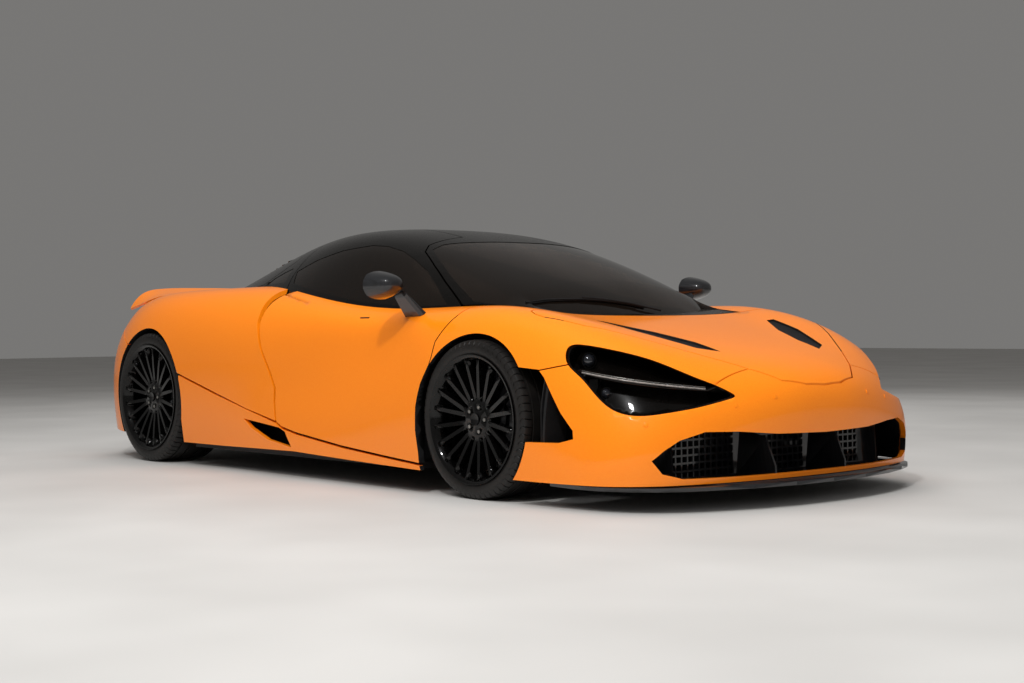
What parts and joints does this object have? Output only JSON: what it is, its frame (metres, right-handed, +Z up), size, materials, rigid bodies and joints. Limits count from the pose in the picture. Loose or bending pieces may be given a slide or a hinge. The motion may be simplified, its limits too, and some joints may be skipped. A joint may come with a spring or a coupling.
{
  "type": "supercar",
  "caption": "Low mid-engined two-seat supercar with upswinging doors, steered front wheels, opening front lid, rising rear blade and a hollow cabin; stands on its tyres",
  "frame": {"origin": "floor under the middle of the car", "axes": "+X to the nose, +Y to the car's left, +Z up"},
  "size_m": [4.543, 2.1636, 1.195],
  "materials": {
    "orange_paint": "gloss",
    "black_frame": "gloss",
    "tinted_glass": "polished",
    "carbon": "satin",
    "structure": "satin",
    "iron": "cast",
    "black_wheel": "gloss",
    "tyre": "matte",
    "lamp_dark": "gloss",
    "lamp_red": "gloss",
    "trim_leather": "matte",
    "trim_plastic": "matte"
  },
  "bodies": {
    "body": {"tub": "structure", "undertray": "carbon", "front_bumper": "orange_paint", "front_splitter": "carbon", "front_fenders": "orange_paint", "sills": "orange_paint", "rear_quarters": "orange_paint", "rear_bumper": "orange_paint", "rear_deck": "orange_paint", "cowl": "black_frame", "arch_liners": "black_frame", "quarter_glasses": "tinted_glass", "engine_cover": "black_frame", "roof_frame": "black_frame", "windscreen": "tinted_glass", "headlamps": "lamp_dark", "tail_lamps": "lamp_red", "tail_mesh": "black_frame", "rear_frame": "structure", "engine_block": "iron", "front_axle": "structure", "rear_axle": "structure", "seats": "trim_leather", "dashboard": "trim_plastic"},
    "bonnet": {"bonnet": "orange_paint", "bonnet_vents": "black_frame"},
    "door_left": {"door_left": "orange_paint", "door_frame_left": "black_frame", "door_glass_left": "tinted_glass", "mirror_left": "carbon"},
    "door_right": {"door_right": "orange_paint", "door_frame_right": "black_frame", "door_glass_right": "tinted_glass", "mirror_right": "carbon"},
    "rear_wing": {"rear_wing": "orange_paint"},
    "steering_wheel": {"steering_wheel": "trim_leather"},
    "upright_left": {"upright_front_left": "structure"},
    "upright_right": {"upright_front_right": "structure"},
    "wheel_front_left": {"wheel_front_left": "black_wheel", "tyre_front_left": "tyre"},
    "wheel_front_right": {"wheel_front_right": "black_wheel", "tyre_front_right": "tyre"},
    "wheel_rear_left": {"wheel_rear_left": "black_wheel", "tyre_rear_left": "tyre"},
    "wheel_rear_right": {"wheel_rear_right": "black_wheel", "tyre_rear_right": "tyre"}
  },
  "joints": [
    {"name": "steer_left", "type": "hinge", "parent": "body", "child": "upright_left", "pos_m": [1.171, 0.736, 0.327], "axis": [0, 0, 1], "range_deg": [-28, 28]},
    {"name": "steer_right", "type": "hinge", "parent": "body", "child": "upright_right", "pos_m": [1.171, -0.736, 0.327], "axis": [0, 0, 1], "range_deg": [-28, 28]},
    {"name": "front_left_spin", "type": "hinge", "parent": "upright_left", "child": "wheel_front_left", "pos_m": [1.171, 0.827, 0.327], "axis": [0, 1, 0], "continuous": true},
    {"name": "front_right_spin", "type": "hinge", "parent": "upright_right", "child": "wheel_front_right", "pos_m": [1.171, -0.827, 0.327], "axis": [0, 1, 0], "continuous": true},
    {"name": "rear_left_spin", "type": "hinge", "parent": "body", "child": "wheel_rear_left", "pos_m": [-1.499, 0.795, 0.343], "axis": [0, 1, 0], "continuous": true},
    {"name": "rear_right_spin", "type": "hinge", "parent": "body", "child": "wheel_rear_right", "pos_m": [-1.499, -0.795, 0.343], "axis": [0, 1, 0], "continuous": true},
    {"name": "steering_wheel_turn", "type": "hinge", "parent": "body", "child": "steering_wheel", "pos_m": [0.47, 0.35, 0.7], "axis": [-0.9551, 0, 0.2964], "range_deg": [-450, 450]},
    {"name": "door_left_swing", "type": "hinge", "parent": "body", "child": "door_left", "pos_m": [1.045, 0.91, 0.79], "axis": [0.6837, 0.6215, -0.3825], "range_deg": [0, 62]},
    {"name": "door_right_swing", "type": "hinge", "parent": "body", "child": "door_right", "pos_m": [1.045, -0.91, 0.79], "axis": [-0.6837, 0.6215, 0.3825], "range_deg": [0, 62]},
    {"name": "bonnet_lift", "type": "hinge", "parent": "body", "child": "bonnet", "pos_m": [1.125, 0, 0.75], "axis": [0, -1, 0], "range_deg": [0, 52]},
    {"name": "rear_wing_rise", "type": "slide", "parent": "body", "child": "rear_wing", "axis": [-0.2873, 0, 0.9578], "range_m": [0, 0.12]}
  ],
  "couplings": [
    {"joint": "steer_right", "follows": "steer_left", "ratio": 1},
    {"joint": "steering_wheel_turn", "follows": "steer_left", "ratio": 14}
  ]
}
